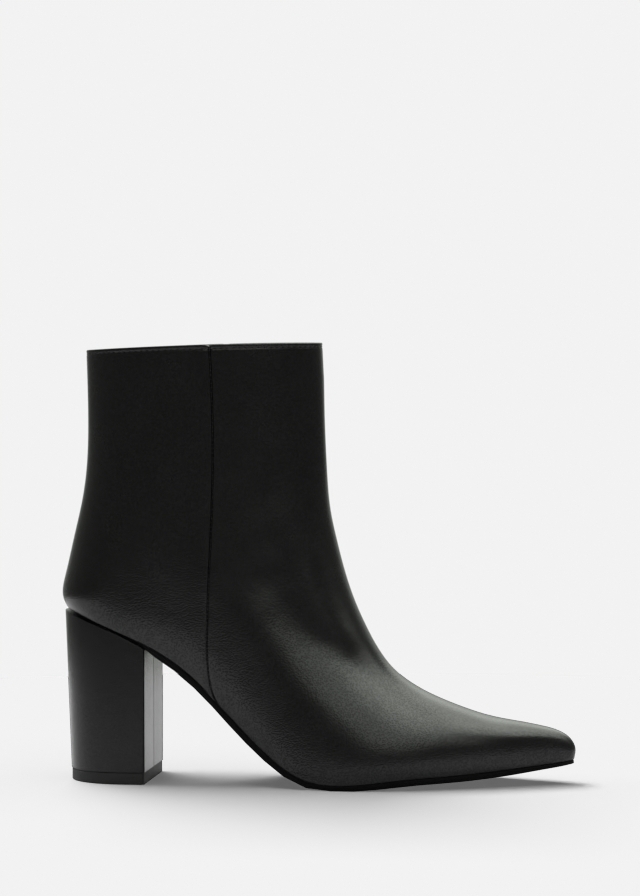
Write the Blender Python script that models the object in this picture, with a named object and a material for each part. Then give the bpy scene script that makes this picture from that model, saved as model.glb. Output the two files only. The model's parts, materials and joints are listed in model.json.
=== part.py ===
"""Block heel ankle boot, right foot: a leather upper on a thin sole, with a wrapped block heel.

Sizes are in millimetres and become metres when a mesh is made. The boot is laid out from its heel:
X runs from the back of the heel to the toe, Y from the outer side (minus) to the inner side (plus)
and Z up from the floor. At the end the boot is moved so that its origin is under its middle.
"""
import bmesh
import bpy
import numpy as np
from mathutils import Matrix, Vector

for old in list(bpy.data.objects):
    bpy.data.objects.remove(old)

MM = 0.001

# Main sizes
WALL = 2.0                # upper leather with its lining
FIT_GAP = 0.3             # room left between pieces that touch
SOLE_THICK = 2.7          # outsole from the breast of the heel to the ball
SOLE_THICK_TOE = 1.5      # outsole at the toe tip
TOE_TAPER_X = 212.0       # it thins from here to the tip
SEAT_THICK = 0.6          # outsole over the heel
SEAT_INSET = 2.2          # how far the seat stays inside the upper's edge, which leaves the shadow line
SEAT_FLARE = 8.0          # the seat widens to the full sole over this length behind the breast
SEAT_STEP = (-4.0, 8.0)   # and thickens between these places, measured from the breast
INSOLE_THICK = 2.0
INSOLE_CLEAR = 0.6        # room between the insole and the upper's wall
SOLE_EDGE_ROUND = 0.7     # the sole's lower edge draws in by this much
BLOCK_TOP_GAP = 0.35      # room above the block, measured upright, so a little more than the fit gap
TOE_SWING = 3.0           # how far the toe tip bends to the inner side
SWING_START = 120.0       # the bend begins here, behind the ball

# Heel
BREAST_X = 45.6           # flat front face of the heel
BLOCK_BACK_TOP = 1.6
BLOCK_BACK_LOW = 4.7
BLOCK_HALF_TOP = 28.8
BLOCK_HALF_LOW = 28.2
BREAST_ROUND = 1.6        # rounding of the two upright edges of the breast
BLOCK_ROUND_LONG = 30.0   # length of the round back of the D-shaped plan
TIP_THICK = 5.5
TIP_INSET = 0.35
WRAP_SEAM_DEEP = 0.5
WRAP_SEAM_HALF = 0.5

# Side seams
SEAM_DEEP = 0.55
SEAM_HALF = 0.9

# Mesh density
BACK_COLUMNS = 11         # from the back of the boot to the side seam
FRONT_COLUMNS = 24        # from the side seam to the front ridge
RINGS = 25
CURVE_POINTS = 1201       # points that stand for a smooth curve when its length is measured
NOSE_POINTS = 60
HOLLOW_POINTS = 121
HALVINGS = 45             # steps of the search for the section through a point
HEEL_ROUND_POINTS = 10
BREAST_ROUND_POINTS = 4
NARROWEST = 1.0           # a piece along the foot ends where its half-width falls below this
SHARP_ANGLE = np.radians(35.0)

# Sections of the upper from the toe to the collar. Each is a line across the side view, from the
# sole's edge or the back of the boot to the front ridge. outer and inner are its largest half-widths,
# widest is how far along the line they lie, crown is how square the ridge is, and roll is how late
# the wall turns in towards the sole's edge.
SECTION_COLUMNS = ("front_x", "front_z", "back_x", "back_z", "outer", "inner", "widest", "crown", "roll")
SECTIONS = (
    (255.3, 17.2, 254.5, 12.0, 0.0, 0.0, 0.34, 2.40, 2.20),
    (254.5, 19.8, 253.7, 11.9, 2.8, 2.8, 0.34, 2.50, 2.20),
    (251.9, 22.4, 251.1, 11.5, 5.2, 5.3, 0.34, 2.70, 2.25),
    (247.4, 25.2, 246.5, 10.9, 8.3, 8.6, 0.33, 3.00, 2.30),
    (240.0, 27.7, 239.0, 10.1, 12.0, 12.6, 0.31, 3.20, 2.35),
    (229.0, 30.1, 228.0, 9.0, 17.0, 17.6, 0.28, 3.20, 2.35),
    (214.0, 32.7, 213.0, 7.6, 24.0, 24.0, 0.25, 3.00, 2.25),
    (197.2, 38.0, 195.5, 6.3, 31.2, 30.3, 0.21, 2.50, 2.05),
    (180.1, 45.5, 177.0, 5.3, 38.0, 35.6, 0.17, 2.00, 1.95),
    (166.2, 55.8, 157.5, 3.4, 41.8, 37.6, 0.14, 1.80, 1.95),
    (156.5, 68.5, 139.0, 2.5, 41.8, 36.0, 0.14, 1.80, 2.10),
    (149.3, 82.3, 122.5, 5.8, 38.8, 32.6, 0.18, 1.85, 2.50),
    (143.8, 96.1, 107.0, 16.0, 35.2, 30.2, 0.24, 1.90, 3.00),
    (139.8, 109.6, 91.5, 30.2, 32.8, 29.3, 0.30, 1.95, 3.60),
    (136.6, 122.6, 75.0, 47.2, 31.6, 29.6, 0.33, 2.00, 4.20),
    (134.1, 134.6, 55.0, 63.4, 31.4, 30.5, 0.34, 2.05, 5.00),
    (133.0, 145.2, 33.0, 74.6, 31.5, 31.2, 0.34, 2.10, 5.80),
    (132.4, 154.0, 14.0, 82.0, 31.4, 31.4, 0.34, 2.10, 6.00),
    (132.1, 161.0, 3.0, 85.4, 31.2, 31.2, 0.35, 2.10, 6.00),
    (131.7, 168.0, 0.3, 93.0, 30.8, 30.8, 0.37, 2.10, 6.00),
    (131.4, 176.5, 2.7, 105.5, 30.0, 30.0, 0.40, 2.10, 6.00),
    (131.1, 186.0, 6.5, 122.5, 29.0, 29.0, 0.43, 2.10, 6.00),
    (130.9, 196.0, 10.9, 143.5, 28.5, 28.5, 0.46, 2.10, 6.00),
    (130.7, 206.5, 13.0, 172.0, 28.6, 28.6, 0.48, 2.10, 6.00),
    (130.0, 216.8, 12.2, 213.0, 29.2, 29.2, 0.48, 2.10, 6.00),
)
HEEL_ROW = 18             # the section that ends at the back corner of the sole

# Plan of the sole's edge: half-widths either side of the middle line, before its ends are rounded
OUTLINE_COLUMNS = ("x", "outer", "inner")
OUTLINE = (
    (0.0, 28.5, 28.5),
    (30.0, 29.0, 28.6),
    (48.0, 28.2, 26.6),
    (66.0, 26.8, 23.0),
    (84.0, 27.6, 21.2),
    (102.0, 31.6, 23.2),
    (120.0, 37.4, 28.2),
    (138.0, 41.2, 33.6),
    (153.0, 41.4, 36.4),
    (168.0, 38.9, 35.8),
    (184.0, 34.0, 32.6),
    (200.0, 28.0, 27.9),
    (218.0, 20.4, 21.0),
    (234.0, 13.4, 14.2),
    (245.0, 8.6, 9.2),
    (256.0, 5.0, 5.4),
)
TOE_ROUND_LONG = 10.0     # the toe end of the outline is rounded over this length
TAPER_INSET = 1.15        # a line inside the outline draws in faster across the taper than along it

# Rounding of the back of the boot
HEEL_ROUND_LONG = 25.0    # the heel is rounded over this length, measured from its back
SHAFT_ROUND_LONG = 56.0   # and the shaft over this, reached at the height of SHAFT_ROUND_TOP
SHAFT_ROUND_TOP = 205.0
HEEL_SQUARE = 2.2         # 2 would round it as an ellipse
ROLL_FADE = 3.0           # the wall's roll at the sole fades out over this many sections up the back

# Hollow of the instep on both sides, where the vamp turns up into the shaft: its line in the side view
HOLLOW_COLUMNS = ("x", "z")
HOLLOW = (
    (109.0, 103.0),
    (119.0, 87.0),
    (129.0, 73.0),
    (138.5, 63.0),
    (148.5, 57.0),
)
HOLLOW_DEEP = 3.0
HOLLOW_WIDE = 14.5        # from the line to where it is nearly level with the wall

# Side seam in the side view, from the sole to the collar
SEAM_COLUMNS = ("x", "z")
SEAM = (
    (81.2, 41.0),
    (78.3, 50.0),
    (77.1, 72.0),
    (78.2, 105.0),
    (79.6, 150.0),
    (79.2, 190.0),
    (78.1, 216.1),
)

# Spacing of the rings, as powers of their share of the way up: they crowd near the sole
BACK_CROWDING = 1.35
SEAM_CROWDING = 1.45
FRONT_CROWDING = 1.60
COLLAR_RISE_POWER = 2.0   # the collar rises steeply from the back and levels out at the front

# Finishes: colour and roughness
LEATHER = ((0.011, 0.012, 0.0115, 1.0), 0.38)
SOLE_BLACK = ((0.013, 0.013, 0.013, 1.0), 0.50)
SOCK_BLACK = ((0.020, 0.019, 0.018, 1.0), 0.80)


def column(table, columns, name):
    """One named column of a table as an array."""
    place = columns.index(name)
    return np.array([row[place] for row in table])


def natural_spline(knots, values):
    """A smooth curve through the values at the knots, as a function of an array of places."""
    knots = np.asarray(knots, dtype=float)
    values = np.asarray(values, dtype=float)
    count = len(knots)
    step = np.diff(knots)
    slope = np.diff(values) / step
    system = np.eye(count)
    target = np.zeros(count)
    for i in range(1, count - 1):
        system[i, i - 1:i + 2] = step[i - 1], 2.0 * (step[i - 1] + step[i]), step[i]
        target[i] = 6.0 * (slope[i] - slope[i - 1])
    bend = np.linalg.solve(system, target)

    def curve(places):
        places = np.asarray(places, dtype=float)
        i = np.clip(np.searchsorted(knots, places) - 1, 0, count - 2)
        before = knots[i + 1] - places
        after = places - knots[i]
        cubic = (bend[i] * before ** 3 + bend[i + 1] * after ** 3) / (6.0 * step[i])
        left = (values[i] / step[i] - bend[i] * step[i] / 6.0) * before
        right = (values[i + 1] / step[i] - bend[i + 1] * step[i] / 6.0) * after
        return cubic + left + right

    return curve


# Curves of the section table, as functions of the row number
LAST_ROW = len(SECTIONS) - 1
ROWS = np.arange(len(SECTIONS), dtype=float)
SECTION = {name: column(SECTIONS, SECTION_COLUMNS, name) for name in SECTION_COLUMNS}
SECTION_CURVES = {name: natural_spline(ROWS, SECTION[name]) for name in SECTION_COLUMNS}
BACK = ("back_x", "back_z")
FOOT_BACK = {name: natural_spline(ROWS[:HEEL_ROW + 1], SECTION[name][:HEEL_ROW + 1]) for name in BACK}
SHAFT_BACK = {name: natural_spline(ROWS[HEEL_ROW:], SECTION[name][HEEL_ROW:]) for name in BACK}
PLAN = {name: column(OUTLINE, OUTLINE_COLUMNS, name) for name in OUTLINE_COLUMNS}
OUTLINE_CURVES = {side: natural_spline(PLAN["x"], PLAN[side]) for side in ("outer", "inner")}
HEEL_X = SECTION["back_x"][HEEL_ROW]
TOE_X = SECTION["back_x"][0]


def front_point(row):
    """Point of the front ridge, in the side view, at a row number."""
    return np.stack([SECTION_CURVES["front_x"](row), SECTION_CURVES["front_z"](row)], axis=-1)


def back_point(row):
    """Point of the sole's edge or of the back of the boot, in the side view, at a row number."""
    row = np.asarray(row, dtype=float)
    on_foot = row <= HEEL_ROW
    foot_row = np.minimum(row, HEEL_ROW)
    shaft_row = np.maximum(row, HEEL_ROW)
    return np.stack([np.where(on_foot, FOOT_BACK[name](foot_row), SHAFT_BACK[name](shaft_row))
                     for name in BACK], axis=-1)


def ease(x, low, high):
    """Rises smoothly from 0 at low to 1 at high."""
    share = np.clip((x - low) / (high - low), 0.0, 1.0)
    return share * share * (3.0 - 2.0 * share)


# Back of the boot and edge of the sole in the side view, as dense points
BACK_LINE = back_point(np.linspace(HEEL_ROW, LAST_ROW, CURVE_POINTS))
EDGE_LINE = back_point(np.linspace(HEEL_ROW, 0.0, CURVE_POINTS))


def ahead_of_back(x, z):
    """How far a point of the side view lies ahead of the back of the boot, which runs on straight below."""
    corner = BACK_LINE[0]
    lean = (BACK_LINE[1] - corner)[0] / (BACK_LINE[1] - corner)[1]
    carried_on = corner[0] + (z - corner[1]) * lean
    return x - np.where(z < corner[1], carried_on, np.interp(z, BACK_LINE[:, 1], BACK_LINE[:, 0]))


def heel_rounding(ahead, length):
    """Share of the full width at a distance ahead of the back, where the heel is rounded over a length."""
    return np.sqrt(1.0 - np.clip(1.0 - ahead / length, 0.0, 1.0) ** HEEL_SQUARE)


def open_edge_half_width(x, side, inset=0.0):
    """Half-width at x of the sole's edge, or of a line inside it, before its heel end is rounded."""
    toe_end = TOE_X - inset
    toe_round = TOE_ROUND_LONG - inset
    toe = np.clip((x - toe_end + toe_round) / toe_round, 0.0, 1.0)
    return (OUTLINE_CURVES[side](np.minimum(x, toe_end)) - TAPER_INSET * inset) * np.sqrt(1.0 - toe ** 2)


def edge_half_width(x, side, inset=0.0):
    """Half-width at x of the sole's edge, or of a line inside it, rounded off at both ends."""
    ahead = ahead_of_back(x, np.interp(x, EDGE_LINE[:, 0], EDGE_LINE[:, 1])) - inset
    return open_edge_half_width(x, side, inset) * heel_rounding(ahead, HEEL_ROUND_LONG - inset)


def middle_line(x):
    """Sideways place of the boot's middle line, which bends to the inner side at the toe."""
    reach = np.clip((np.asarray(x) - SWING_START) / (TOE_X - SWING_START), 0.0, None)
    return TOE_SWING * reach ** 2


def section_row(points):
    """Row number of the section line that passes through each point of the side view."""
    low = np.zeros(len(points))
    high = np.full(len(points), float(LAST_ROW))
    for _ in range(HALVINGS):
        row = 0.5 * (low + high)
        start = back_point(row)
        along = front_point(row) - start
        away = points - start
        behind = along[:, 0] * away[:, 1] - along[:, 1] * away[:, 0] > 0.0
        low = np.where(behind, row, low)
        high = np.where(behind, high, row)
    return 0.5 * (low + high)


def hollow_share(points):
    """How much of the instep's hollow there is at points of the side view: 1 on its line, 0 far from it."""
    rows = np.arange(len(HOLLOW), dtype=float)
    along = np.linspace(0.0, rows[-1], HOLLOW_POINTS)
    line = [natural_spline(rows, column(HOLLOW, HOLLOW_COLUMNS, name))(along) for name in HOLLOW_COLUMNS]
    away = np.min(np.linalg.norm(points[:, None] - np.stack(line, axis=-1)[None], axis=2), axis=1)
    return np.exp(-(away / HOLLOW_WIDE) ** 2)


def upper_half_width(points, side):
    """Half-width of the upper at points of the side view."""
    row = section_row(points)
    start = back_point(row)
    along = front_point(row) - start
    place = np.sum((points - start) * along, axis=1) / np.sum(along ** 2, axis=1)
    place = np.clip(place, 0.0, 1.0)
    most = np.maximum(SECTION_CURVES[side](row), 1e-6)
    widest = SECTION_CURVES["widest"](row)
    edge = open_edge_half_width(np.maximum(start[:, 0], HEEL_X), side)
    drawn_in = (1.0 - np.minimum(edge / most, 1.0) ** 2) * (1.0 - ease(row, HEEL_ROW, HEEL_ROW + ROLL_FADE))
    to_edge = np.clip((widest - place) / widest, 0.0, 1.0) ** SECTION_CURVES["roll"](row)
    to_ridge = np.clip((place - widest) / (1.0 - widest), 0.0, 1.0) ** SECTION_CURVES["crown"](row)
    share = np.sqrt(np.clip(np.where(place < widest, 1.0 - drawn_in * to_edge, 1.0 - to_ridge), 0.0, 1.0))
    half = (most - HOLLOW_DEEP * hollow_share(points)) * share
    x, z = points.T
    up_shaft = ease(z, BACK_LINE[0, 1], SHAFT_ROUND_TOP)
    rounded_over = HEEL_ROUND_LONG + (SHAFT_ROUND_LONG - HEEL_ROUND_LONG) * up_shaft
    return half * heel_rounding(ahead_of_back(x, z), rounded_over)


def even_curve(points):
    """A curve through dense points, as a function of the share of its length."""
    run = np.concatenate([[0.0], np.cumsum(np.linalg.norm(np.diff(points, axis=0), axis=1))])
    run /= run[-1]
    return lambda share: np.stack([np.interp(share, run, points[:, i]) for i in range(2)], axis=-1)


def upper_rings():
    """Side-view points of the upper: an array of ring, column and (x, z), from the back to the front.

    The seam column stands between the back quarter and the vamp, so the seam follows the mesh. Each
    half is filled between its four edges.
    """
    dense = np.linspace(0.0, 1.0, CURVE_POINTS)
    feather = back_point(HEEL_ROW * (1.0 - dense))
    back = even_curve(back_point(HEEL_ROW + (LAST_ROW - HEEL_ROW) * dense))
    nose = np.linspace(back_point(0.0), front_point(0.0), NOSE_POINTS, endpoint=False)
    front = even_curve(np.concatenate([nose, front_point(LAST_ROW * dense)]))
    collar_low = back_point(LAST_ROW)
    collar_high = front_point(LAST_ROW)
    collar_rise = 1.0 - (1.0 - dense) ** COLLAR_RISE_POWER
    collar = np.stack([collar_low[0] + (collar_high[0] - collar_low[0]) * dense,
                       collar_low[1] + (collar_high[1] - collar_low[1]) * collar_rise], axis=-1)

    seam_x = column(SEAM, SEAM_COLUMNS, "x")
    seam_z = column(SEAM, SEAM_COLUMNS, "z")
    feather_cut = int(np.argmin(np.abs(feather[:, 0] - seam_x[0])))
    collar_cut = int(np.argmin(np.abs(collar[:, 0] - seam_x[-1])))
    seam_z[0] = feather[feather_cut, 1]
    seam_x[0] = feather[feather_cut, 0]
    seam_z[-1] = collar[collar_cut, 1]
    seam_x[-1] = collar[collar_cut, 0]
    seam_rows = np.arange(len(SEAM), dtype=float)
    seam_run = dense * seam_rows[-1]
    seam = even_curve(np.stack([natural_spline(seam_rows, seam_x)(seam_run),
                                natural_spline(seam_rows, seam_z)(seam_run)], axis=-1))

    rise = np.linspace(0.0, 1.0, RINGS + 1)
    back_side = back(rise ** BACK_CROWDING)
    seam_side = seam(rise ** SEAM_CROWDING)
    front_side = front(rise ** FRONT_CROWDING)
    back_turn = 1.0 - np.cos(0.5 * np.pi * np.linspace(0.0, 1.0, BACK_COLUMNS + 1))
    front_turn = np.sin(0.5 * np.pi * np.linspace(0.0, 1.0, FRONT_COLUMNS + 1))
    quarter = fill_between(even_curve(feather[:feather_cut + 1])(back_turn),
                           even_curve(collar[:collar_cut + 1])(back_turn),
                           back_side, seam_side, back_turn, rise)
    vamp = fill_between(even_curve(feather[feather_cut:])(front_turn),
                        even_curve(collar[collar_cut:])(front_turn),
                        seam_side, front_side, front_turn, rise)
    return np.concatenate([quarter, vamp[:, 1:]], axis=1)


def fill_between(low, high, left, right, across, rise):
    """Grid between four edges: low and high run across, left and right run up."""
    a = across[None, :, None]
    r = rise[:, None, None]
    ruled_up = (1.0 - r) * low[None] + r * high[None]
    ruled_across = (1.0 - a) * left[:, None] + a * right[:, None]
    low_corners = (1.0 - a) * low[0] + a * low[-1]
    high_corners = (1.0 - a) * high[0] + a * high[-1]
    return ruled_up + ruled_across - ((1.0 - r) * low_corners + r * high_corners)


def add_node(name, bm, finish):
    """Make a named object with its own material from a bmesh in millimetres."""
    colour, roughness = finish
    bmesh.ops.recalc_face_normals(bm, faces=bm.faces)
    bmesh.ops.scale(bm, vec=(MM, MM, MM), verts=bm.verts)
    mesh = bpy.data.meshes.new(name)
    bm.to_mesh(mesh)
    bm.free()
    mesh.shade_smooth()
    mesh.set_sharp_from_angle(angle=SHARP_ANGLE)
    material = bpy.data.materials.new(name)
    material.use_nodes = True
    shader = material.node_tree.nodes["Principled BSDF"]
    shader.inputs["Base Color"].default_value = colour
    shader.inputs["Roughness"].default_value = roughness
    mesh.materials.append(material)
    node = bpy.data.objects.new(name, mesh)
    bpy.context.scene.collection.objects.link(node)
    return node


def wall_points(side_view):
    """Outer and inner surface of the upper as rings of 3-D points that run once around the boot."""
    rings, columns = side_view.shape[:2]
    flat = side_view.reshape(-1, 2)
    halves = {}
    for side in ("outer", "inner"):
        half = upper_half_width(flat, side).reshape(rings, columns)
        half[:, 0] = 0.0
        half[:, -1] = 0.0
        halves[side] = half
    centre = middle_line(side_view[..., 0])
    outer_side = np.stack([side_view[..., 0], centre - halves["outer"], side_view[..., 1]], axis=-1)
    inner_side = np.stack([side_view[..., 0], centre + halves["inner"], side_view[..., 1]], axis=-1)
    outside = np.concatenate([outer_side, inner_side[:, -2:0:-1]], axis=1)
    around = np.roll(outside, -1, axis=1) - np.roll(outside, 1, axis=1)
    up = np.gradient(outside, axis=0)
    normal = np.cross(around, up)
    normal /= np.linalg.norm(normal, axis=2, keepdims=True)
    return outside, outside - WALL * normal


def with_seam_lips(wall):
    """Add a column close to either side of the two seam columns, for the lips of their grooves."""
    around = wall.shape[1]
    columns = []
    for j in range(around):
        if j not in (BACK_COLUMNS, around - BACK_COLUMNS):
            columns.append(wall[:, j])
            continue
        seam = wall[:, j]
        to_last = wall[:, j - 1] - seam
        to_next = wall[:, j + 1] - seam
        columns.append(seam + to_last * SEAM_HALF / np.linalg.norm(to_last, axis=1, keepdims=True))
        columns.append(seam)
        columns.append(seam + to_next * SEAM_HALF / np.linalg.norm(to_next, axis=1, keepdims=True))
    return np.stack(columns, axis=1)


def make_upper(side_view):
    """The upper: outer wall, inner wall and the two rims that join them at the collar and the sole."""
    outside, inside = [with_seam_lips(wall) for wall in wall_points(side_view)]
    rings, around = outside.shape[:2]
    seam_column = BACK_COLUMNS + 1
    for place in (seam_column, around - seam_column):
        outside[:, place] += (inside[:, place] - outside[:, place]) * SEAM_DEEP / WALL
    feather = side_view[0]
    inside[0, :, 2] = np.interp(inside[0, :, 0], feather[:, 0], feather[:, 1])
    inside[-1, :, 2] = outside[-1, :, 2]
    bm = bmesh.new()
    out = [[bm.verts.new(point) for point in ring] for ring in outside]
    inn = [[bm.verts.new(point) for point in ring] for ring in inside]
    for j in range(around):
        n = (j + 1) % around
        for k in range(rings - 1):
            bm.faces.new((out[k][j], out[k][n], out[k + 1][n], out[k + 1][j]))
            bm.faces.new((inn[k][n], inn[k][j], inn[k + 1][j], inn[k + 1][n]))
        bm.faces.new((out[0][n], out[0][j], inn[0][j], inn[0][n]))
        bm.faces.new((out[-1][j], out[-1][n], inn[-1][n], inn[-1][j]))
    bmesh.ops.triangulate(bm, faces=bm.faces, quad_method="FIXED")
    return add_node("upper", bm, LEATHER)


def below(line, depth):
    """A side-view line moved down along its own normals by a depth at each of its points."""
    along = np.gradient(line, axis=0)
    along /= np.linalg.norm(along, axis=1, keepdims=True)
    return line + np.stack([along[:, 1], -along[:, 0]], axis=-1) * np.asarray(depth)[..., None]


def sole_lines(feather):
    """Top and bottom line of the outsole in the side view, under the edge of the upper."""
    x = feather[:, 0]
    thick = SEAT_THICK + (SOLE_THICK - SEAT_THICK) * ease(x, BREAST_X + SEAT_STEP[0], BREAST_X + SEAT_STEP[1])
    thick -= (SOLE_THICK - SOLE_THICK_TOE) * ease(x, TOE_TAPER_X, TOE_X)
    top = below(feather, np.full(len(x), FIT_GAP))
    bottom = below(feather, FIT_GAP + thick)
    bottom[:, 1] = np.maximum(bottom[:, 1], 0.0)
    return top, bottom


def add_strip(bm, sections):
    """Closed solid through sections that have the same number of points, with flat ends."""
    loops = [[bm.verts.new(point) for point in section] for section in sections]
    count = len(loops[0])
    for here, there in zip(loops, loops[1:]):
        for i in range(count):
            n = (i + 1) % count
            bm.faces.new((here[i], here[n], there[n], there[i]))
    bm.faces.new(loops[0][::-1])
    bm.faces.new(loops[-1])


def make_outsole(feather):
    """Thin sole from the heel seat through arch and ball to the toe, with its lower edges rounded."""
    top, bottom = sole_lines(feather)
    sections = []
    for i, x in enumerate(feather[:, 0]):
        forward = ease(x, BREAST_X - SEAT_FLARE, BREAST_X)
        half = {}
        for side in ("outer", "inner"):
            seat = edge_half_width(x, side, SEAT_INSET)
            half[side] = seat + (edge_half_width(x, side) - seat) * forward
        if min(half.values()) < NARROWEST:
            continue
        centre = middle_line(x)
        middle = 0.5 * (top[i] + bottom[i])
        section = []
        for point, draw_in in ((top[i], 0.0), (middle, 0.0), (bottom[i], SOLE_EDGE_ROUND)):
            section.append((point[0], centre - half["outer"] + draw_in, point[1]))
        for point, draw_in in ((bottom[i], SOLE_EDGE_ROUND), (middle, 0.0), (top[i], 0.0)):
            section.append((point[0], centre + half["inner"] - draw_in, point[1]))
        sections.append(section)
    bm = bmesh.new()
    add_strip(bm, sections)
    return add_node("outsole", bm, SOLE_BLACK)


def make_insole(feather):
    """Insole inside the upper's wall, laid on the sole."""
    top = below(feather, np.full(len(feather), -INSOLE_THICK))
    inset = WALL + INSOLE_CLEAR
    sections = []
    for i, (x, z) in enumerate(feather):
        half = {side: edge_half_width(x, side, inset) for side in ("outer", "inner")}
        if min(half.values()) < NARROWEST:
            continue
        centre = middle_line(x)
        sections.append([(top[i][0], centre - half["outer"], top[i][1]), (x, centre - half["outer"], z),
                         (x, centre + half["inner"], z), (top[i][0], centre + half["inner"], top[i][1])])
    bm = bmesh.new()
    add_strip(bm, sections)
    return add_node("insole", bm, SOCK_BLACK)


def heel_plan(back, half, inset=0.0):
    """Half of the heel's D-shaped plan, from the middle of its back to the end of the breast's rounding."""
    back += inset
    half -= inset
    breast = BREAST_X - inset
    points = []
    for turn in np.linspace(0.0, 0.5 * np.pi, HEEL_ROUND_POINTS):
        ahead = 1.0 - np.cos(turn)
        points.append((back + BLOCK_ROUND_LONG * ahead, half * np.sqrt(1.0 - (1.0 - ahead) ** HEEL_SQUARE)))
    for turn in np.linspace(0.0, 0.5 * np.pi, BREAST_ROUND_POINTS):
        short_of_breast = BREAST_ROUND * (1.0 - np.sin(turn))
        short_of_side = BREAST_ROUND * (1.0 - np.cos(turn))
        points.append((breast - short_of_breast, half - short_of_side))
    return points


def mirrored(plan, breast_points=()):
    """Whole ring from half a heel plan, with further points of the breast in its middle."""
    return plan + list(breast_points) + [(x, -y) for x, y in plan[:0:-1]]


def make_heel_block(feather):
    """Wrapped heel block: its top follows the sole, and a groove runs down the middle of the breast."""
    bottom = sole_lines(feather)[1]
    groove = [(BREAST_X, WRAP_SEAM_HALF), (BREAST_X - WRAP_SEAM_DEEP, 0.0), (BREAST_X, -WRAP_SEAM_HALF)]
    plan = heel_plan(BLOCK_BACK_TOP, BLOCK_HALF_TOP)
    bm = bmesh.new()
    low = [bm.verts.new((x, y, TIP_THICK + FIT_GAP))
           for x, y in mirrored(heel_plan(BLOCK_BACK_LOW, BLOCK_HALF_LOW), groove)]
    high = [bm.verts.new((x, y, np.interp(x, bottom[:, 0], bottom[:, 1]) - BLOCK_TOP_GAP))
            for x, y in mirrored(plan, groove)]
    count = len(low)
    for i in range(count):
        n = (i + 1) % count
        bm.faces.new((low[i], low[n], high[n], high[i]))
    bm.faces.new(low[::-1])
    bm.faces.new((high[0], high[1], high[-1]))
    behind_groove = sum(x < BREAST_X - WRAP_SEAM_DEEP for x, y in plan) - 1
    for i in range(1, behind_groove):
        bm.faces.new((high[i], high[i + 1], high[-i - 1], high[-i]))
    bm.faces.new(high[behind_groove:count - behind_groove + 1])
    return add_node("heel_block", bm, LEATHER)


def make_heel_tip():
    """Rubber top piece under the block, standing on the floor."""
    ring = mirrored(heel_plan(BLOCK_BACK_LOW, BLOCK_HALF_LOW, TIP_INSET))
    bm = bmesh.new()
    add_strip(bm, [[(x, y, z) for x, y in ring] for z in (0.0, TIP_THICK)])
    return add_node("heel_tip", bm, SOLE_BLACK)


grid = upper_rings()
edge_line = grid[0]
pieces = [
    make_upper(grid),
    make_outsole(edge_line),
    make_insole(edge_line),
    make_heel_block(edge_line),
    make_heel_tip(),
]

# The origin goes under the middle of the boot's box
corners = np.array([vertex.co for piece in pieces for vertex in piece.data.vertices])
low_corner = corners.min(axis=0)
middle = 0.5 * (low_corner + corners.max(axis=0))
to_origin = Vector((-middle[0], -middle[1], -low_corner[2]))
for piece in pieces:
    piece.data.transform(Matrix.Translation(to_origin))
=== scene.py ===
"""Block heel ankle boot, right foot: leather upper, sock, sole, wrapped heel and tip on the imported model."""
import json
import math

import bmesh
import bpy
import numpy as np
from mathutils import Matrix, Vector
from mathutils.bvhtree import BVHTree


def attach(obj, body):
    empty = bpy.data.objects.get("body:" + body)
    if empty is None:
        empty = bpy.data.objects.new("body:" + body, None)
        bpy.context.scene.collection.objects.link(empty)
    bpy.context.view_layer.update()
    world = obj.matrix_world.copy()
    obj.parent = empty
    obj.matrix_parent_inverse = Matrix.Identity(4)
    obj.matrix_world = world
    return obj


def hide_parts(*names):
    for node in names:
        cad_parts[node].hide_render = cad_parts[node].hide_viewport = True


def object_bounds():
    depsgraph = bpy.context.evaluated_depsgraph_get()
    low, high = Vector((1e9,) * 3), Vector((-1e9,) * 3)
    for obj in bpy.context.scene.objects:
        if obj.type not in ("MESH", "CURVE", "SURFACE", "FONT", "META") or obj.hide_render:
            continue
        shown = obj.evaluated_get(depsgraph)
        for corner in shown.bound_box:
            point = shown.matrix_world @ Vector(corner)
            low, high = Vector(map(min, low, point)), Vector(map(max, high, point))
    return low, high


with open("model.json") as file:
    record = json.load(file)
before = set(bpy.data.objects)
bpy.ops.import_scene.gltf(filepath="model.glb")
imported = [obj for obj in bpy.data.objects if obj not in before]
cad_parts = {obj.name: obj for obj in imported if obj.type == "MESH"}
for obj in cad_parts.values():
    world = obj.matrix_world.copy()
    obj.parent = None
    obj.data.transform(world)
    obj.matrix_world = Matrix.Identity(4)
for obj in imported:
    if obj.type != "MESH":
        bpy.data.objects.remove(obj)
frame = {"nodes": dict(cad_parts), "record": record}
cad_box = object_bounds()

# Upper: two leather panels, vamp and back quarter, closed by a seam on each side and pulled over a
# pointed last. A lining backs the leather, and the leather is folded over at the collar.
MM = 0.001
SAME_CORNER = 0.001 * MM       # corners closer than this are one
EDGE_ROUND = 0.6 * MM          # rounding of the folded collar and of the edge at the sole
EDGE_STEPS = 2
SHARP_EDGE = math.radians(40)
GROOVE_EDGE = 0.6 * SHARP_EDGE  # the seams' grooves turn in by more than this
BOTH_FACING = 1.0              # sum of two sideways normals, where both faces look to the same side
COLLAR_ABOVE = 0.9             # share of the boot's height above which a rim is the collar's
LEVEL_FACE = 0.5               # a face whose normal rises by more than this lies across the rim
COLLAR_CUTS = 9                # extra rings in the top row, fine enough for the fold and its stitch line
SMOOTH_LEVELS = 2
FIT_ROUNDS = 3                 # rounds that bring the smoothed wall back onto the solid
FOLD_DEEP = 2.0 * MM           # from the collar's edge down to the stitch line
STITCH_LINE_SINK = 0.25 * MM   # the stitches draw the leather in along that line
STITCH_LINE_HALF = 0.6 * MM
NOTCH_DEEP = 0.8 * MM          # dip of the collar's edge where the panels meet
NOTCH_HALF = 1.2 * MM
NOTCH_REACH = 6.0 * MM
TURNED_IN = 7.0 * MM           # the leather is folded over and runs this far down inside
SEAM_SINK = 0.25 * MM          # the seam's thread draws the panels in, and the leather swells beside it
SEAM_HALF = 0.35 * MM
LIP_RISE = 0.12 * MM
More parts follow.
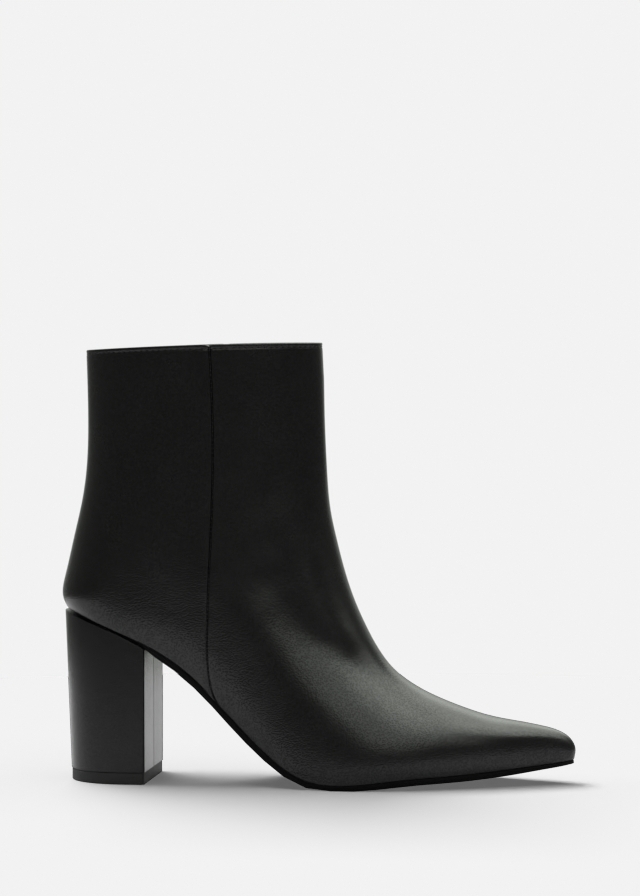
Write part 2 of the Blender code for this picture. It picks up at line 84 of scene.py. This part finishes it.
LIP_AWAY = 1.2 * MM
LIP_HALF = 0.5 * MM
CREASES_MM = {                 # x and z along each line, its half width and its depth: a ridge is below zero
    "ankle": ((-20.0, 108.0, 18.0, 0.8), (-22.0, 116.0, 18.0, 0.8)),
    "bend": ((-12.0, 84.0, 9.0, 0.5), (3.0, 72.0, 8.0, 1.2), (20.0, 63.0, 7.0, 1.7), (32.0, 53.5, 5.5, 1.7),
             (44.0, 43.0, 4.5, 1.2), (54.0, 36.5, 4.0, 0.8), (64.0, 33.4, 3.5, 0.5), (80.0, 30.4, 2.4, 0.3)),
    "toe edge": ((58.0, 32.5, 4.0, -0.2), (70.0, 29.6, 3.2, -0.6), (80.0, 27.8, 3.0, -0.8),
                 (90.0, 26.4, 2.8, -0.8), (100.0, 25.3, 2.6, -0.7), (114.0, 25.0, 2.6, -0.8),
                 (124.0, 24.0, 2.6, -0.5)),
}
LEATHER_BLACK = (0.0022, 0.0026, 0.0024, 1.0)
LINING_BLACK = (0.016, 0.0155, 0.015, 1.0)
PATCHES_PER_METRE = 55.0
PATCH_LOW, PATCH_HIGH = 0.3, 0.7       # usual range of the patches
PATCH_DARK, PATCH_LIGHT = 0.7, 1.3     # shares of the colour in them
FINE_PER_METRE = 2600.0
PORE_MIDDLE, PORE_RIM = 0.15, 0.75     # in pore spacings
PORE_SHADE = 0.43                       # painted shade in a pore: share of Metallic at its middle, so the black leather mirrors less there
FINE_SHARE, WAVE_SHARE = 0.15, 8.0     # heights of the fine grain and of the waves, in pore depths


def solid_copy(node):
    """Mesh of a CAD node with the corners of its loose triangles joined."""
    bm = bmesh.new()
    bm.from_mesh(frame["nodes"][node].data)
    bmesh.ops.remove_doubles(bm, verts=bm.verts, dist=SAME_CORNER)
    return bm


def rows_and_columns(bm):
    """Dissolve the diagonals of a wall laid out in rings. Returns its edges around and its edges upright.

    All its faces are split the same way, so each triangle has, in one order, an edge of each kind. The
    kinds spread from one face in rings, so a triangle that is split otherwise upsets only its neighbours.
    """
    bm.faces.ensure_lookup_table()
    first = bm.faces[0].loops[0]
    kind = {first.edge: 0}
    todo = [first, first.link_loop_radial_next]
    for loop in todo:
        for step in (1, 2):
            last = loop
            loop = loop.link_loop_next
            if loop.edge not in kind:
                kind[loop.edge] = (kind[last.edge] + 1) % 3
                todo.append(loop.link_loop_radial_next)
    families = [[edge for edge in kind if kind[edge] == k] for k in range(3)]
    diagonals = max(families, key=lambda edges: sum(edge.calc_length() for edge in edges))
    families.remove(diagonals)
    bmesh.ops.dissolve_edges(bm, edges=diagonals, use_verts=False)
    top = max(bm.verts, key=lambda vert: vert.co.z)
    along_rim = max(top.link_edges, key=lambda edge: edge.calc_face_angle())
    return sorted(families, key=lambda edges: along_rim not in edges)


def in_order(edges):
    """Places of the vertices along a chain or a closed loop of edges."""
    beside = {}
    for edge in edges:
        for vert in edge.verts:
            beside.setdefault(vert, []).append(edge.other_vert(vert))
    here = min(beside, key=lambda vert: (len(beside[vert]), vert.co.z))
    path = [here]
    seen = {here}
    while here:
        here = next((vert for vert in beside[here] if vert not in seen), None)
        if here:
            path.append(here)
            seen.add(here)
    return np.array([vert.co for vert in path])


def read_vectors(items, name):
    """One vector for each vertex or face of a mesh, as rows of an array."""
    values = np.empty((len(items), 3), np.float32)
    items.foreach_get(name, values.ravel())
    return values


def smooth_mesh(bm, name, levels, fit_rounds):
    """Subdivided mesh, as far out along its normals as the vertices it started from."""
    mesh = bpy.data.meshes.new(name)
    bm.to_mesh(mesh)
    bm.free()
    holder = bpy.data.objects.new(name, mesh)
    bpy.context.scene.collection.objects.link(holder)
    subdivide = holder.modifiers.new("smooth", "SUBSURF")
    subdivide.levels = levels
    subdivide.render_levels = levels
    aim = read_vectors(mesh.vertices, "co")
    out = read_vectors(mesh.vertices, "normal")
    for _ in range(fit_rounds):
        smooth = bpy.data.meshes.new_from_object(holder.evaluated_get(bpy.context.evaluated_depsgraph_get()))
        sunk = np.sum((aim - read_vectors(smooth.vertices, "co")[:len(aim)]) * out, axis=1)
        bpy.data.meshes.remove(smooth)
        mesh.vertices.foreach_set("co", (read_vectors(mesh.vertices, "co") + sunk[:, None] * out).ravel())
        mesh.update()
    smooth = bpy.data.meshes.new_from_object(holder.evaluated_get(bpy.context.evaluated_depsgraph_get()))
    bpy.data.objects.remove(holder)
    smooth.name = name
    return smooth


def crease_depth(place, rows):
    """Depth of one crease at places on the wall, by how far they lie from its line seen from the side."""
    rows = MM * np.array(rows)
    beside = place[:, [0, 2]]
    nearest = np.full(len(place), np.inf)
    depth = np.zeros(len(place))
    for start, end in zip(rows[:-1], rows[1:]):
        step = end - start
        share = np.clip((beside - start[:2]) @ step[:2] / (step[:2] @ step[:2]), 0.0, 1.0)
        line = start + share[:, None] * step
        away = np.linalg.norm(beside - line[:, :2], axis=1)
        closer = away < nearest
        nearest = np.where(closer, away, nearest)
        depth = np.where(closer, line[:, 3] * np.exp(-(away / line[:, 2]) ** 2), depth)
    return depth


def away_from(place, line):
    """Distance of places from a line of points."""
    nearest = np.full(len(place), np.inf)
    for start, end in zip(line[:-1], line[1:]):
        step = end - start
        share = np.clip((place - start) @ step / (step @ step), 0.0, 1.0)
        nearest = np.minimum(nearest, np.linalg.norm(place - start - share[:, None] * step, axis=1))
    return nearest


def add_piece(name, mesh, materials, node):
    """Show a finished mesh as a piece of the boot, in place of a CAD node or on top of it."""
    mesh.materials.clear()
    for material in materials:
        mesh.materials.append(material)
    mesh.shade_smooth()
    piece = bpy.data.objects.new(name, mesh)
    bpy.context.scene.collection.objects.link(piece)
    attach(piece, "root")
    if node:
        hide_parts(node)
    return piece


# Fine grain of the coated leather: small pores less than a millimetre apart in a slightly wavy skin
grain = bpy.data.node_groups.new("fine_leather_grain", "ShaderNodeTree")
grain.interface.new_socket("Place", in_out="INPUT", socket_type="NodeSocketVector")
grain.interface.new_socket("Pores per metre", in_out="INPUT", socket_type="NodeSocketFloat")
grain.interface.new_socket("Height", in_out="OUTPUT", socket_type="NodeSocketFloat")
grain.interface.new_socket("Patches", in_out="OUTPUT", socket_type="NodeSocketFloat")
grain.interface.new_socket("Between pores", in_out="OUTPUT", socket_type="NodeSocketFloat")
grain_in = grain.nodes.new("NodeGroupInput")
grain_out = grain.nodes.new("NodeGroupOutput")
pores = grain.nodes.new("ShaderNodeTexVoronoi")
grain.links.new(grain_in.outputs["Place"], pores.inputs["Vector"])
grain.links.new(grain_in.outputs["Pores per metre"], pores.inputs["Scale"])
pore_edge = grain.nodes.new("ShaderNodeMapRange")
pore_edge.interpolation_type = "SMOOTHSTEP"
pore_edge.inputs["From Min"].default_value = PORE_MIDDLE
pore_edge.inputs["From Max"].default_value = PORE_RIM
grain.links.new(pores.outputs["Distance"], pore_edge.inputs["Value"])
patches = grain.nodes.new("ShaderNodeTexNoise")
patches.inputs["Scale"].default_value = PATCHES_PER_METRE
patches.inputs["Detail"].default_value = 3.0
grain.links.new(grain_in.outputs["Place"], patches.inputs["Vector"])
fine = grain.nodes.new("ShaderNodeTexNoise")
fine.inputs["Scale"].default_value = FINE_PER_METRE
fine.inputs["Detail"].default_value = 2.0
grain.links.new(grain_in.outputs["Place"], fine.inputs["Vector"])
height = pore_edge.outputs["Result"]
for layer, share in ((fine, FINE_SHARE), (patches, WAVE_SHARE)):
    added = grain.nodes.new("ShaderNodeMath")
    added.operation = "MULTIPLY_ADD"
    added.inputs[1].default_value = share
    grain.links.new(layer.outputs["Fac"], added.inputs[0])
    grain.links.new(height, added.inputs[2])
    height = added.outputs["Value"]
grain.links.new(height, grain_out.inputs["Height"])
grain.links.new(patches.outputs["Fac"], grain_out.inputs["Patches"])
grain.links.new(pore_edge.outputs["Result"], grain_out.inputs["Between pores"])


def shade(colour, share):
    """A darker or lighter share of a colour."""
    return tuple(share * part for part in colour[:3]) + (1.0,)


def grained(name, colour, rough, pores_per_metre, pore_mm, specular):
    """Material with the fine grain, in a colour, a range of roughness, a depth of its pores and a gloss."""
    material = bpy.data.materials.new(name)
    material.use_nodes = True
    tree = material.node_tree
    shader = tree.nodes["Principled BSDF"]
    place = tree.nodes.new("ShaderNodeTexCoord")
    pattern = tree.nodes.new("ShaderNodeGroup")
    pattern.name = "grain"
    pattern.node_tree = grain
    pattern.inputs["Pores per metre"].default_value = pores_per_metre
    tree.links.new(place.outputs["Object"], pattern.inputs["Place"])
    tint = tree.nodes.new("ShaderNodeMix")
    tint.data_type = "RGBA"
    tint.inputs["A"].default_value = shade(colour, PATCH_DARK)
    tint.inputs["B"].default_value = shade(colour, PATCH_LIGHT)
    tree.links.new(pattern.outputs["Patches"], tint.inputs["Factor"])
    tree.links.new(tint.outputs["Result"], shader.inputs["Base Color"])
    shader.inputs["Specular IOR Level"].default_value = specular
    dull = tree.nodes.new("ShaderNodeMapRange")
    dull.inputs["From Min"].default_value = PATCH_LOW
    dull.inputs["From Max"].default_value = PATCH_HIGH
    dull.inputs["To Min"].default_value = rough[0]
    dull.inputs["To Max"].default_value = rough[1]
    tree.links.new(pattern.outputs["Patches"], dull.inputs["Value"])
    tree.links.new(dull.outputs["Result"], shader.inputs["Roughness"])
    bump = tree.nodes.new("ShaderNodeBump")
    bump.inputs["Strength"].default_value = 1.0
    bump.inputs["Distance"].default_value = pore_mm * MM
    tree.links.new(pattern.outputs["Height"], bump.inputs["Height"])
    tree.links.new(bump.outputs["Normal"], shader.inputs["Normal"])
    return material


def paint_pore_shade(material):
    """Painted shade in the pores of a black leather: Metallic takes gloss away in them.

    The export drops a linked specular level. In black, a share of Metallic mirrors as little, and it is kept.
    """
    tree = material.node_tree
    pore_shade_metallic = tree.nodes.new("ShaderNodeMapRange")
    pore_shade_metallic.inputs["To Min"].default_value = PORE_SHADE
    pore_shade_metallic.inputs["To Max"].default_value = 0.0
    tree.links.new(tree.nodes["grain"].outputs["Between pores"], pore_shade_metallic.inputs["Value"])
    tree.links.new(pore_shade_metallic.outputs["Result"], tree.nodes["Principled BSDF"].inputs["Metallic"])


leather = grained("upper_leather", LEATHER_BLACK, rough=(0.22, 0.28), pores_per_metre=1200.0,
                  pore_mm=0.03, specular=0.6)
# Painted shade in the pores of the upper's leather
paint_pore_shade(leather)
lining = grained("lining_textile", LINING_BLACK, rough=(0.75, 0.85), pores_per_metre=2200.0,
                 pore_mm=0.15, specular=0.25)

wall = solid_copy("upper")
around, upright = rows_and_columns(wall)
rims = [edge for edge in around if edge.calc_face_angle() > SHARP_EDGE]
collar_rim = [edge for edge in rims if edge.verts[0].co.z > COLLAR_ABOVE * cad_box[1].z]
rim_verts = {vert for edge in collar_rim for vert in edge.verts}
top_row = [edge for edge in upright if sum(vert in rim_verts for vert in edge.verts) == 1]
collar_middle = 0.5 * (Vector(map(min, zip(*[vert.co for vert in rim_verts])))
                       + Vector(map(max, zip(*[vert.co for vert in rim_verts]))))


def on_outer_wall(edge):
    """True for an edge of the collar's rim beside an upright face that looks away from its middle."""
    from_middle = edge.verts[0].co - collar_middle
    return any(abs(face.normal.z) < LEVEL_FACE and face.normal.dot(from_middle) > 0.0
               for face in edge.link_faces)


def seam_line(side):
    """Places up a seam's groove, on the boot's outer side (-1) or its inner side (1)."""
    return in_order([edge for edge in grooves
                     if side * sum(face.normal.y for face in edge.link_faces) > BOTH_FACING])


collar_line = in_order([edge for edge in collar_rim if on_outer_wall(edge)])
grooves = [edge for edge in upright if edge.calc_face_angle_signed() < -GROOVE_EDGE]
seam_lines = [seam_line(-1), seam_line(1)]
bmesh.ops.subdivide_edges(wall, edges=top_row, cuts=COLLAR_CUTS, use_grid_fill=True)
bmesh.ops.bevel(wall, geom=rims, offset=EDGE_ROUND, offset_type="OFFSET", segments=EDGE_STEPS, profile=0.5,
                affect="EDGES", material=-1, clamp_overlap=True)
upper_mesh = smooth_mesh(wall, "upper_leather", SMOOTH_LEVELS, FIT_ROUNDS)

# The creases run through the whole wall. The fold's stitch line and the seams are pressed in from outside
middles = np.array([box["box_m"] for box in frame["record"]["physics"]["openings"]]).mean(axis=1)


def looks_out(place, facing):
    """True for what faces away from the room for the foot."""
    nearest = middles[np.argmin(np.linalg.norm(place[:, None] - middles[None], axis=2), axis=1)]
    return np.sum(facing * (place - nearest), axis=1) > 0.0


place = read_vectors(upper_mesh.vertices, "co")
facing = read_vectors(upper_mesh.vertices, "normal")
by_x = np.argsort(collar_line[:, 0])
under_collar = np.interp(place[:, 0], collar_line[by_x, 0], collar_line[by_x, 2]) - place[:, 2]
outside = looks_out(place, facing)
pressed = STITCH_LINE_SINK * np.exp(-((under_collar - FOLD_DEEP) / STITCH_LINE_HALF) ** 2) * outside
for line in seam_lines:
    from_seam = away_from(place, line)
    lips = LIP_RISE * np.exp(-((from_seam - LIP_AWAY) / LIP_HALF) ** 2)
    pressed += (SEAM_SINK * np.exp(-(from_seam / SEAM_HALF) ** 2) - lips) * outside
for rows in CREASES_MM.values():
    pressed += crease_depth(place, rows) * np.where(outside, 1.0, -1.0)
place -= facing * pressed[:, None]
for line in seam_lines:
    from_seam = np.linalg.norm(place[:, :2] - line[-1, :2], axis=1)
    fade = np.clip(1.0 - under_collar / NOTCH_REACH, 0.0, 1.0)
    place[:, 2] -= NOTCH_DEEP * fade * np.exp(-(from_seam / NOTCH_HALF) ** 2)
upper_mesh.vertices.foreach_set("co", place.ravel())
upper_mesh.update()

upper = add_piece("upper_leather", upper_mesh, [leather, lining], "upper")

# Inside the collar's turned-in edge the wall shows its lining. Faces there look to the middle of the boot
face_place = read_vectors(upper_mesh.polygons, "center")
face_under = np.interp(face_place[:, 0], collar_line[by_x, 0], collar_line[by_x, 2]) - face_place[:, 2]
lined = ~looks_out(face_place, read_vectors(upper_mesh.polygons, "normal")) & (face_under > TURNED_IN)
upper_mesh.polygons.foreach_set("material_index", lined.astype(np.int32))
upper_surface = BVHTree.FromObject(upper, bpy.context.evaluated_depsgraph_get())

# Collar stitches: one row of black thread through the fold, all the way around. Each stitch lies in
# the drawn-in line and dips into its holes at both ends.
STITCH_PITCH = 3.1 * MM
STITCH_LONG = 2.5 * MM
THREAD_THICK = 0.42 * MM
THREAD_SIDES, THREAD_RINGS = 6, 5
STITCH_RISE = 0.06 * MM
THREAD_BLACK = (0.022, 0.022, 0.021, 1.0)
THREAD_ROUGH = 0.45
STRAND_GROOVE_SHADE = 0.6              # painted shade between two twisted strands: share of the colour in the groove
TWISTS_PER_METRE = 1400.0
TWIST_DEEP = 0.05 * MM


def along_line(line, pitch, closed):
    """Evenly spaced places along a line of points, each with the direction of the line there."""
    points = np.vstack([line, line[:1]]) if closed else line
    run = np.concatenate([[0.0], np.cumsum(np.linalg.norm(np.diff(points, axis=0), axis=1))])
    spots = np.linspace(0.0, run[-1], int(round(run[-1] / pitch)), endpoint=not closed)
    step = 0.5 * pitch

    def at(where):
        where = where % run[-1] if closed else np.clip(where, 0.0, run[-1])
        return np.stack([np.interp(where, run, points[:, i]) for i in range(3)], axis=1)

    return at(spots), at(spots + step) - at(spots - step)


def add_thread(bm, spot, across, out, long, thick):
    """One stitch: a small spindle of thread along a direction, lying on the surface."""
    z_axis = Vector(across).normalized()
    x_axis = (Vector(out) - z_axis * z_axis.dot(Vector(out))).normalized()
    turn = Matrix((x_axis, z_axis.cross(x_axis), z_axis)).transposed().to_4x4()
    size = Matrix.Diagonal((0.5 * thick, 0.5 * thick, 0.5 * long, 1.0))
    bmesh.ops.create_uvsphere(bm, u_segments=THREAD_SIDES, v_segments=THREAD_RINGS, radius=1.0,
                              matrix=Matrix.Translation(spot) @ turn @ size)


def finished(bm, name):
    """Mesh of a bmesh."""
    mesh = bpy.data.meshes.new(name)
    bm.to_mesh(mesh)
    bm.free()
    return mesh


thread = bpy.data.materials.new("black_thread")
thread.use_nodes = True
thread_tree = thread.node_tree
thread_shader = thread_tree.nodes["Principled BSDF"]
thread_shader.inputs["Roughness"].default_value = THREAD_ROUGH
twist = thread_tree.nodes.new("ShaderNodeTexWave")
twist.bands_direction = "DIAGONAL"
twist.inputs["Scale"].default_value = TWISTS_PER_METRE
twist_bump = thread_tree.nodes.new("ShaderNodeBump")
twist_bump.inputs["Distance"].default_value = TWIST_DEEP
thread_place = thread_tree.nodes.new("ShaderNodeTexCoord")
thread_tree.links.new(thread_place.outputs["Object"], twist.inputs["Vector"])
thread_tree.links.new(twist.outputs["Fac"], twist_bump.inputs["Height"])
# Painted shade: the thread is darker in the grooves between its strands, where the twist's wave is low
strand_shade = thread_tree.nodes.new("ShaderNodeMix")
strand_shade.data_type = "RGBA"
strand_shade.inputs["A"].default_value = shade(THREAD_BLACK, STRAND_GROOVE_SHADE)
strand_shade.inputs["B"].default_value = THREAD_BLACK
thread_tree.links.new(twist.outputs["Fac"], strand_shade.inputs["Factor"])
thread_tree.links.new(strand_shade.outputs["Result"], thread_shader.inputs["Base Color"])
thread_tree.links.new(twist_bump.outputs["Normal"], thread_shader.inputs["Normal"])

stitch_bm = bmesh.new()
for spot, ahead in zip(*along_line(collar_line - (0.0, 0.0, FOLD_DEEP), STITCH_PITCH, True)):
    seat, out, _, _ = upper_surface.find_nearest(spot)
    add_thread(stitch_bm, seat + out * STITCH_RISE, ahead, out, STITCH_LONG, THREAD_THICK)
add_piece("collar_stitches", finished(stitch_bm, "collar_stitches"), [thread], None)

# Side seams: the panels are sewn face to face and turned, so the seam is a closed groove. Its thread
# shows only as short ties at the bottom of the groove.
TIE_PITCH = 2.1 * MM
TIE_LONG = 0.8 * MM
TIE_THICK = 0.38 * MM
TIE_RISE = 0.2 * MM
TIE_END = 3                    # ties left out at either end of the seam
tie_bm = bmesh.new()
for line in seam_lines:
    spots, aheads = along_line(line, TIE_PITCH, False)
    for spot, ahead in list(zip(spots, aheads))[TIE_END:-TIE_END]:
        seat = upper_surface.find_nearest(spot)[0]
        sideways = Vector((0.0, math.copysign(1.0, spot[1]), 0.0))
        lifted = seat + TIE_RISE * sideways
        add_thread(tie_bm, lifted, Vector(ahead).cross(sideways), sideways, TIE_LONG, TIE_THICK)
add_piece("seam_ties", finished(tie_bm, "seam_ties"), [thread], None)

# Sock: a soft coated textile glued on the insole board, which closes the upper inside. It is cut a little
# inside the wall, so a narrow gap runs all the way around it.
SOCK_ROUND = 0.7 * MM
SOCK_STEPS = 3
SOCK_BLACK = (0.020, 0.019, 0.018, 1.0)


def keep_flat(piece):
    """Shade the large faces of a piece flat and leave the turn to its rounded edges."""
    piece.modifiers.new("flat_faces", "WEIGHTED_NORMAL")


def rounded_copy(node, edge_round, segments, sharp):
    """Copy of a plain CAD node with flat faces whole again and its sharp edges rounded."""
    bm = solid_copy(node)
    bmesh.ops.join_triangles(bm, faces=bm.faces, angle_face_threshold=sharp, angle_shape_threshold=math.pi)
    edges = [edge for edge in bm.edges if edge.calc_face_angle() > sharp]
    bmesh.ops.bevel(bm, geom=edges, offset=edge_round, offset_type="OFFSET", segments=segments, profile=0.5,
                    affect="EDGES", material=-1, clamp_overlap=True)
    return bm


sock = grained("sock_textile", SOCK_BLACK, rough=(0.65, 0.8), pores_per_metre=1600.0,
               pore_mm=0.12, specular=0.3)
sock_mesh = finished(rounded_copy("insole", SOCK_ROUND, SOCK_STEPS, SHARP_EDGE), "sock")
keep_flat(add_piece("sock", sock_mesh, [sock], "insole"))

# Outsole: a thin moulded rubber unit, glued under the upper, with a smooth edge painted black. It runs
# back over the top of the heel, and its underside is left plain and matt.
SOLE_ROUND = 0.35 * MM
SOLE_STEPS = 2
SOLE_BLACK = (0.006, 0.006, 0.006, 1.0)
sole_rubber = grained("sole_rubber", SOLE_BLACK, rough=(0.6, 0.7), pores_per_metre=700.0,
                      pore_mm=0.06, specular=0.08)
sole_mesh = finished(rounded_copy("outsole", SOLE_ROUND, SOLE_STEPS, SHARP_EDGE), "outsole")
keep_flat(add_piece("outsole", sole_mesh, [sole_rubber], "outsole"))

# Heel block: a moulded block wrapped in the upper's leather. The wrap's two ends meet in a seam down the
# middle of the breast and are turned in at the top and above the tip.
HEEL_ROUND = 0.5 * MM
HEEL_STEPS = 3
heel_leather = grained("heel_leather", LEATHER_BLACK, rough=(0.19, 0.23), pores_per_metre=2800.0,
                       pore_mm=0.01, specular=0.456)
# Painted shade in the pores of the heel's leather
paint_pore_shade(heel_leather)
heel_mesh = finished(rounded_copy("heel_block", HEEL_ROUND, HEEL_STEPS, SHARP_EDGE), "heel_wrap")
keep_flat(add_piece("heel_wrap", heel_mesh, [heel_leather], "heel_block"))

# Heel tip: a hard rubber top piece, cut to the heel's plan a hair smaller than the block. It is pinned
# under the block and takes the wear on the floor.
TIP_ROUND = 0.5 * MM
TIP_STEPS = 3
TIP_BLACK = (0.014, 0.014, 0.014, 1.0)
tip_rubber = grained("tip_rubber", TIP_BLACK, rough=(0.5, 0.6), pores_per_metre=1800.0,
                     pore_mm=0.08, specular=0.45)
tip_mesh = finished(rounded_copy("heel_tip", TIP_ROUND, TIP_STEPS, SHARP_EDGE), "heel_tip_rubber")
keep_flat(add_piece("heel_tip_rubber", tip_mesh, [tip_rubber], "heel_tip"))

# Floor and light: a pale paper floor that runs on into an even pale ground, so only the boot's shadow
# shows on it. The leather mirrors a dim room with three soft lamps, and two more light the floor.
FLOOR_HALF = 0.55
FLOOR_SIDES = 64
FLOOR_PALE = 0.80
FLOOR_LAMPS = (                # name, place, width and depth, power, whether it casts shadows
    ("floor_lamp", (-0.75, 0.7, 1.6), 1.0, 1.6, 36.0, True),
    ("floor_fill", (0.0, 0.0, 1.6), 2.0, 2.0, 13.5, False),
)
GROUND_SEEN = 0.888            # the ground as the camera sees it
ROOM_DIM = 0.18                # what the boot mirrors level with it
BACK_PAPER = 0.52              # and straight behind it
BACK_START, BACK_FULL = 0.70, 1.0      # how far a direction points back where that begins and ends
LAMP_TINT = (0.955, 1.0, 0.92)
LAMPS = (                      # azimuth and elevation, half angle of the core and of the glow, brightness
    (101.0, 64.0, 6.0, 43.5, 2.75),
    (20.0, 45.0, 6.0, 31.0, 1.3),
    (172.0, 38.0, 6.0, 31.0, 1.5),
)


def grey(value):
    """A neutral colour."""
    return (value, value, value, 1.0)


def direction(azimuth, elevation):
    """Unit vector from the boot; azimuth 0 is towards its outer side, 90 past its toe."""
    flat = math.cos(math.radians(elevation))
    return Vector((flat * math.sin(math.radians(azimuth)), -flat * math.cos(math.radians(azimuth)),
                   math.sin(math.radians(elevation))))


floor_bm = bmesh.new()
bmesh.ops.create_circle(floor_bm, cap_ends=True, segments=FLOOR_SIDES, radius=FLOOR_HALF)
floor_mesh = finished(floor_bm, "floor")
floor = bpy.data.objects.new("floor", floor_mesh)
floor.is_shadow_catcher = True
bpy.context.scene.collection.objects.link(floor)
paper = bpy.data.materials.new("floor_paper")
paper.use_nodes = True
paper_shader = paper.node_tree.nodes["Principled BSDF"]
paper_shader.inputs["Base Color"].default_value = grey(FLOOR_PALE)
paper_shader.inputs["Roughness"].default_value = 1.0
paper_shader.inputs["Specular IOR Level"].default_value = 0.0
floor_mesh.materials.append(paper)

for name, hung, wide, deep, power, shadows in FLOOR_LAMPS:
    light = bpy.data.lights.new(name, "AREA")
    light.shape = "RECTANGLE"
    light.size = wide
    light.size_y = deep
    light.energy = power
    light.use_shadow = shadows
    lamp = bpy.data.objects.new(name, light)
    lamp.location = hung
    lamp.visible_glossy = False
    bpy.context.scene.collection.objects.link(lamp)

world = bpy.data.worlds.new("studio")
bpy.context.scene.world = world
world.use_nodes = True
world.cycles_visibility.diffuse = False
sky = world.node_tree


def sky_ramp(source, low, high, to_low, to_high):
    """Value that goes smoothly from one level to another as a direction's part rises."""
    ramp = sky.nodes.new("ShaderNodeMapRange")
    ramp.interpolation_type = "SMOOTHSTEP"
    ramp.inputs["From Min"].default_value = low
    ramp.inputs["From Max"].default_value = high
    ramp.inputs["To Min"].default_value = to_low
    ramp.inputs["To Max"].default_value = to_high
    sky.links.new(source, ramp.inputs["Value"])
    return ramp.outputs["Result"]


towards = sky.nodes.new("ShaderNodeTexCoord")
axes = sky.nodes.new("ShaderNodeSeparateXYZ")
sky.links.new(towards.outputs["Generated"], axes.inputs["Vector"])
glow = sky_ramp(axes.outputs["Y"], BACK_START, BACK_FULL, ROOM_DIM, BACK_PAPER)
for azimuth, elevation, core, reach, brightness in LAMPS:
    beside_lamp = sky.nodes.new("ShaderNodeVectorMath")
    beside_lamp.operation = "DOT_PRODUCT"
    beside_lamp.inputs[1].default_value = direction(azimuth, elevation)
    sky.links.new(towards.outputs["Generated"], beside_lamp.inputs[0])
    lamp_glow = sky_ramp(beside_lamp.outputs["Value"], math.cos(math.radians(reach)),
                         math.cos(math.radians(core)), 0.0, brightness)
    total = sky.nodes.new("ShaderNodeMath")
    sky.links.new(glow, total.inputs[0])
    sky.links.new(lamp_glow, total.inputs[1])
    glow = total.outputs["Value"]
tinted = sky.nodes.new("ShaderNodeVectorMath")
tinted.operation = "SCALE"
tinted.inputs[0].default_value = LAMP_TINT
sky.links.new(glow, tinted.inputs["Scale"])
studio = sky.nodes.new("ShaderNodeBackground")
sky.links.new(tinted.outputs["Vector"], studio.inputs["Color"])
ground = sky.nodes["Background"]
ground.inputs["Color"].default_value = grey(GROUND_SEEN)
ray = sky.nodes.new("ShaderNodeLightPath")
choose = sky.nodes.new("ShaderNodeMixShader")
sky.links.new(ray.outputs["Is Camera Ray"], choose.inputs["Fac"])
sky.links.new(studio.outputs["Background"], choose.inputs[1])
sky.links.new(ground.outputs["Background"], choose.inputs[2])
sky.links.new(choose.outputs["Shader"], sky.nodes["World Output"].inputs["Surface"])

# Camera: a long lens on the boot's outer side, turned seven degrees towards the toe, so the heel's
# breast shows, and looking two degrees down.
CAMERA_TARGET = Vector((0.0012, 0.0021, 0.1648))
CAMERA_AWAY = 1.80
CAMERA_TURN = math.radians(7.0)
CAMERA_DOWN = math.radians(2.0)
CAMERA_LENS = 146.4
CAMERA_SENSOR = 36.0
camera_data = bpy.data.cameras.new("camera")
camera_data.lens = CAMERA_LENS
camera_data.sensor_width = CAMERA_SENSOR
camera = bpy.data.objects.new("camera", camera_data)
towards_camera = Vector((math.sin(CAMERA_TURN) * math.cos(CAMERA_DOWN),
                         -math.cos(CAMERA_TURN) * math.cos(CAMERA_DOWN), math.sin(CAMERA_DOWN)))
camera.location = CAMERA_TARGET + CAMERA_AWAY * towards_camera
camera.rotation_euler = towards_camera.to_track_quat("Z", "Y").to_euler()
bpy.context.scene.collection.objects.link(camera)
bpy.context.scene.camera = camera
bpy.context.scene.view_settings.view_transform = "Standard"
